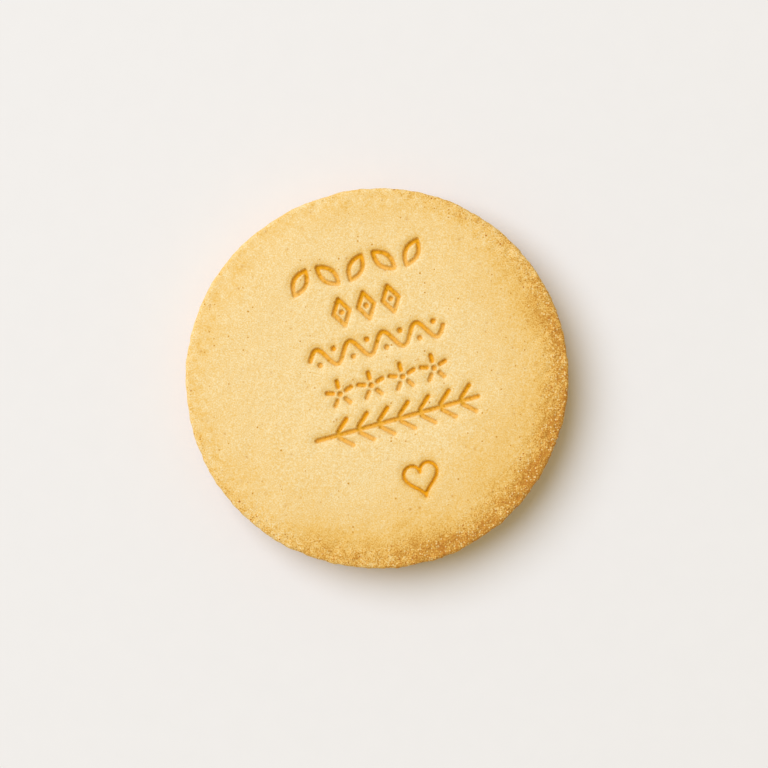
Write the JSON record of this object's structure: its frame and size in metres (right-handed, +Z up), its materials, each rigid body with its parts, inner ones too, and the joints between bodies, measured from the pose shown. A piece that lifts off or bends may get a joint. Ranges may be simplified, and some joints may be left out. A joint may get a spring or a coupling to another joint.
{
  "type": "stamped round butter biscuit",
  "caption": "Round, gently domed butter biscuit with a crumbly golden rim, a flat base, and rows of stamped ornaments and a small heart pressed into its top.",
  "frame": {"origin": "centre of the flat underside", "axes": "+Z up through the middle of the top. Seen from above with +X to the right, the stamped rows rise gently to the right and the heart lies under them, towards -Y"},
  "size_m": [0.0602, 0.0598, 0.009],
  "materials": {
    "baked_dough": "matt, fine-grained golden crust, browner at the rim"
  },
  "bodies": {
    "root": {"biscuit": "baked_dough"}
  },
  "joints": []
}
